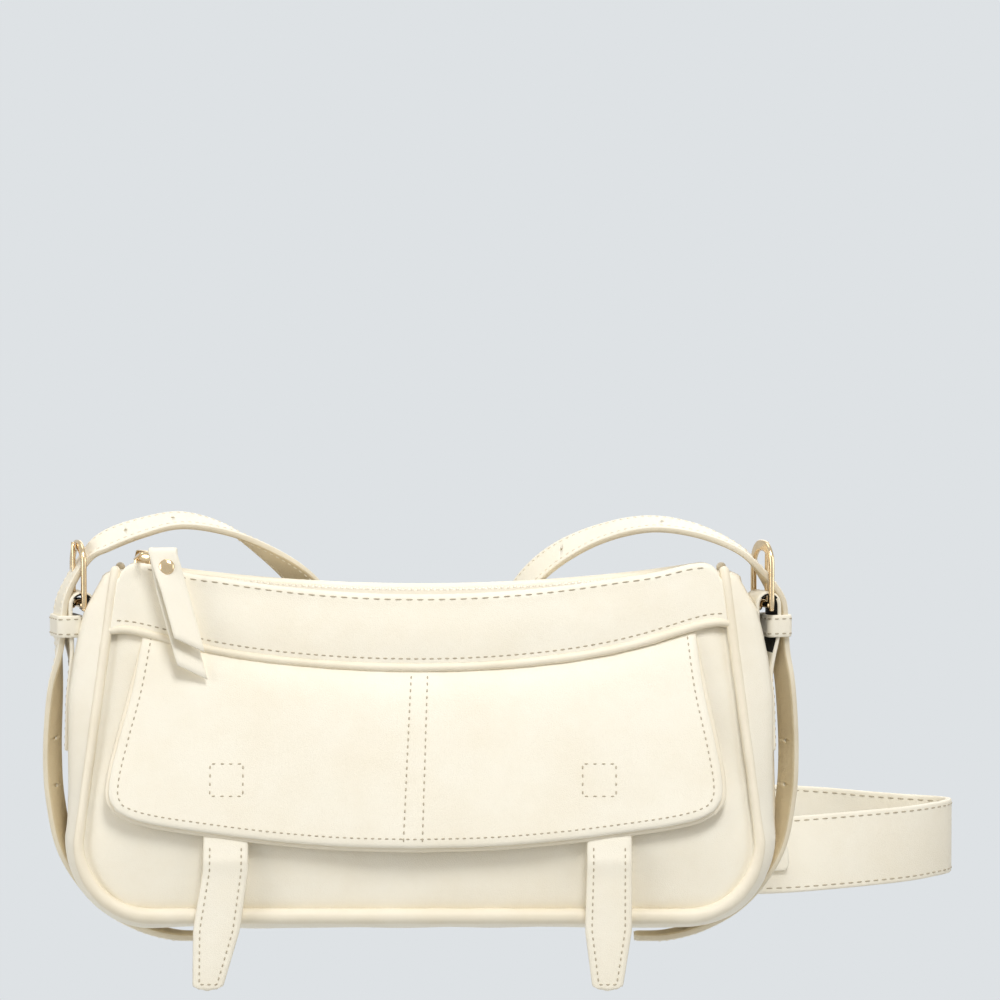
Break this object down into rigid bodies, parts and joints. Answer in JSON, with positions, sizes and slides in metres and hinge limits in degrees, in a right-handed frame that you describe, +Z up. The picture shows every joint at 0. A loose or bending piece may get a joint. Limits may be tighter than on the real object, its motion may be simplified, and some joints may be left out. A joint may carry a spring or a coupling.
{
  "type": "baguette bag",
  "caption": "Small long leather shoulder bag with a zip top, front flap with hanging tongues, and a buckled strap.",
  "frame": {"origin": "centre of the flat underside of the base", "axes": "+X along the bag to the right as seen from the front, -Y out of the flap side, +Z up"},
  "size_m": [0.4015, 0.2019, 0.1949],
  "materials": {
    "cream_leather": "smooth satin",
    "lining_cloth": "woven",
    "zip_tape": "woven",
    "zip_teeth": "moulded nylon",
    "pale_gold": "polished plating",
    "board": "matte",
    "magnet_steel": "plated"
  },
  "bodies": {
    "root": {"front_panel": "cream_leather", "back_panel": "cream_leather", "front_piping": "cream_leather", "back_piping": "cream_leather", "front_yoke": "cream_leather", "front_yoke_piping": "cream_leather", "back_yoke": "cream_leather", "base_panel": "cream_leather", "right_gusset": "cream_leather", "left_gusset": "cream_leather", "flap_band": "cream_leather", "left_chape": "cream_leather", "right_chape": "cream_leather", "left_strap": "cream_leather", "right_strap": "cream_leather", "wide_strap": "cream_leather", "front_lining": "lining_cloth", "back_lining": "lining_cloth", "inner_pocket": "lining_cloth", "left_buckle": "pale_gold", "right_buckle": "pale_gold", "zip_stops": "pale_gold", "front_zip_tape": "zip_tape", "back_zip_tape": "zip_tape", "front_zip_teeth": "zip_teeth", "back_zip_teeth": "zip_teeth", "base_board": "board"},
    "zip_slider": {"zip_slider": "pale_gold"},
    "pull_link": {"pull_link": "pale_gold"},
    "pull_tab": {"pull_tab": "cream_leather", "pull_rivet": "pale_gold"},
    "flap": {"flap": "cream_leather", "flap_lining": "lining_cloth", "flap_magnets": "magnet_steel", "tongue_roots": "cream_leather"},
    "left_tongue": {"left_tongue": "cream_leather"},
    "right_tongue": {"right_tongue": "cream_leather"},
    "left_prong": {"left_prong": "pale_gold"},
    "right_prong": {"right_prong": "pale_gold"},
    "left_keeper": {"left_keeper": "cream_leather"},
    "right_keeper": {"right_keeper": "cream_leather"}
  },
  "joints": [
    {"name": "zip_slide", "type": "hinge", "parent": "root", "child": "zip_slider", "pos_m": [0, 0, 0.9098], "axis": [0, -1, 0], "range_deg": [0, 17]},
    {"name": "link_swing", "type": "hinge", "parent": "zip_slider", "child": "pull_link", "pos_m": [-0.11467, 0, 0.14727], "axis": [-1, 0, 0], "range_deg": [0, 40]},
    {"name": "tab_swing", "type": "hinge", "parent": "pull_link", "child": "pull_tab", "pos_m": [-0.10817, -0.02214, 0.15177], "axis": [-1, 0, 0], "range_deg": [0, 100]},
    {"name": "flap_swing", "type": "hinge", "parent": "root", "child": "flap", "pos_m": [0, -0.02767, 0.09358], "axis": [-1, 0, 0], "range_deg": [0, 100]},
    {"name": "left_tongue_swing", "type": "hinge", "parent": "flap", "child": "left_tongue", "pos_m": [-0.08, -0.0435, 0.02226], "axis": [-1, 0, 0], "range_deg": [0, 70]},
    {"name": "right_tongue_swing", "type": "hinge", "parent": "flap", "child": "right_tongue", "pos_m": [0.08, -0.0435, 0.02226], "axis": [-1, 0, 0], "range_deg": [0, 70]},
    {"name": "left_prong_lift", "type": "hinge", "parent": "root", "child": "left_prong", "pos_m": [-0.1455, 0, 0.129], "axis": [0.309, -0.9511, 0], "range_deg": [0, 8]},
    {"name": "right_prong_lift", "type": "hinge", "parent": "root", "child": "right_prong", "pos_m": [0.1455, 0, 0.129], "axis": [-0.309, 0.9511, 0], "range_deg": [0, 8]},
    {"name": "left_keeper_slide", "type": "slide", "parent": "root", "child": "left_keeper", "axis": [0, 0, -1], "range_m": [0, 0.003]},
    {"name": "right_keeper_slide", "type": "slide", "parent": "root", "child": "right_keeper", "axis": [0, 0, -1], "range_m": [0, 0.003]}
  ]
}
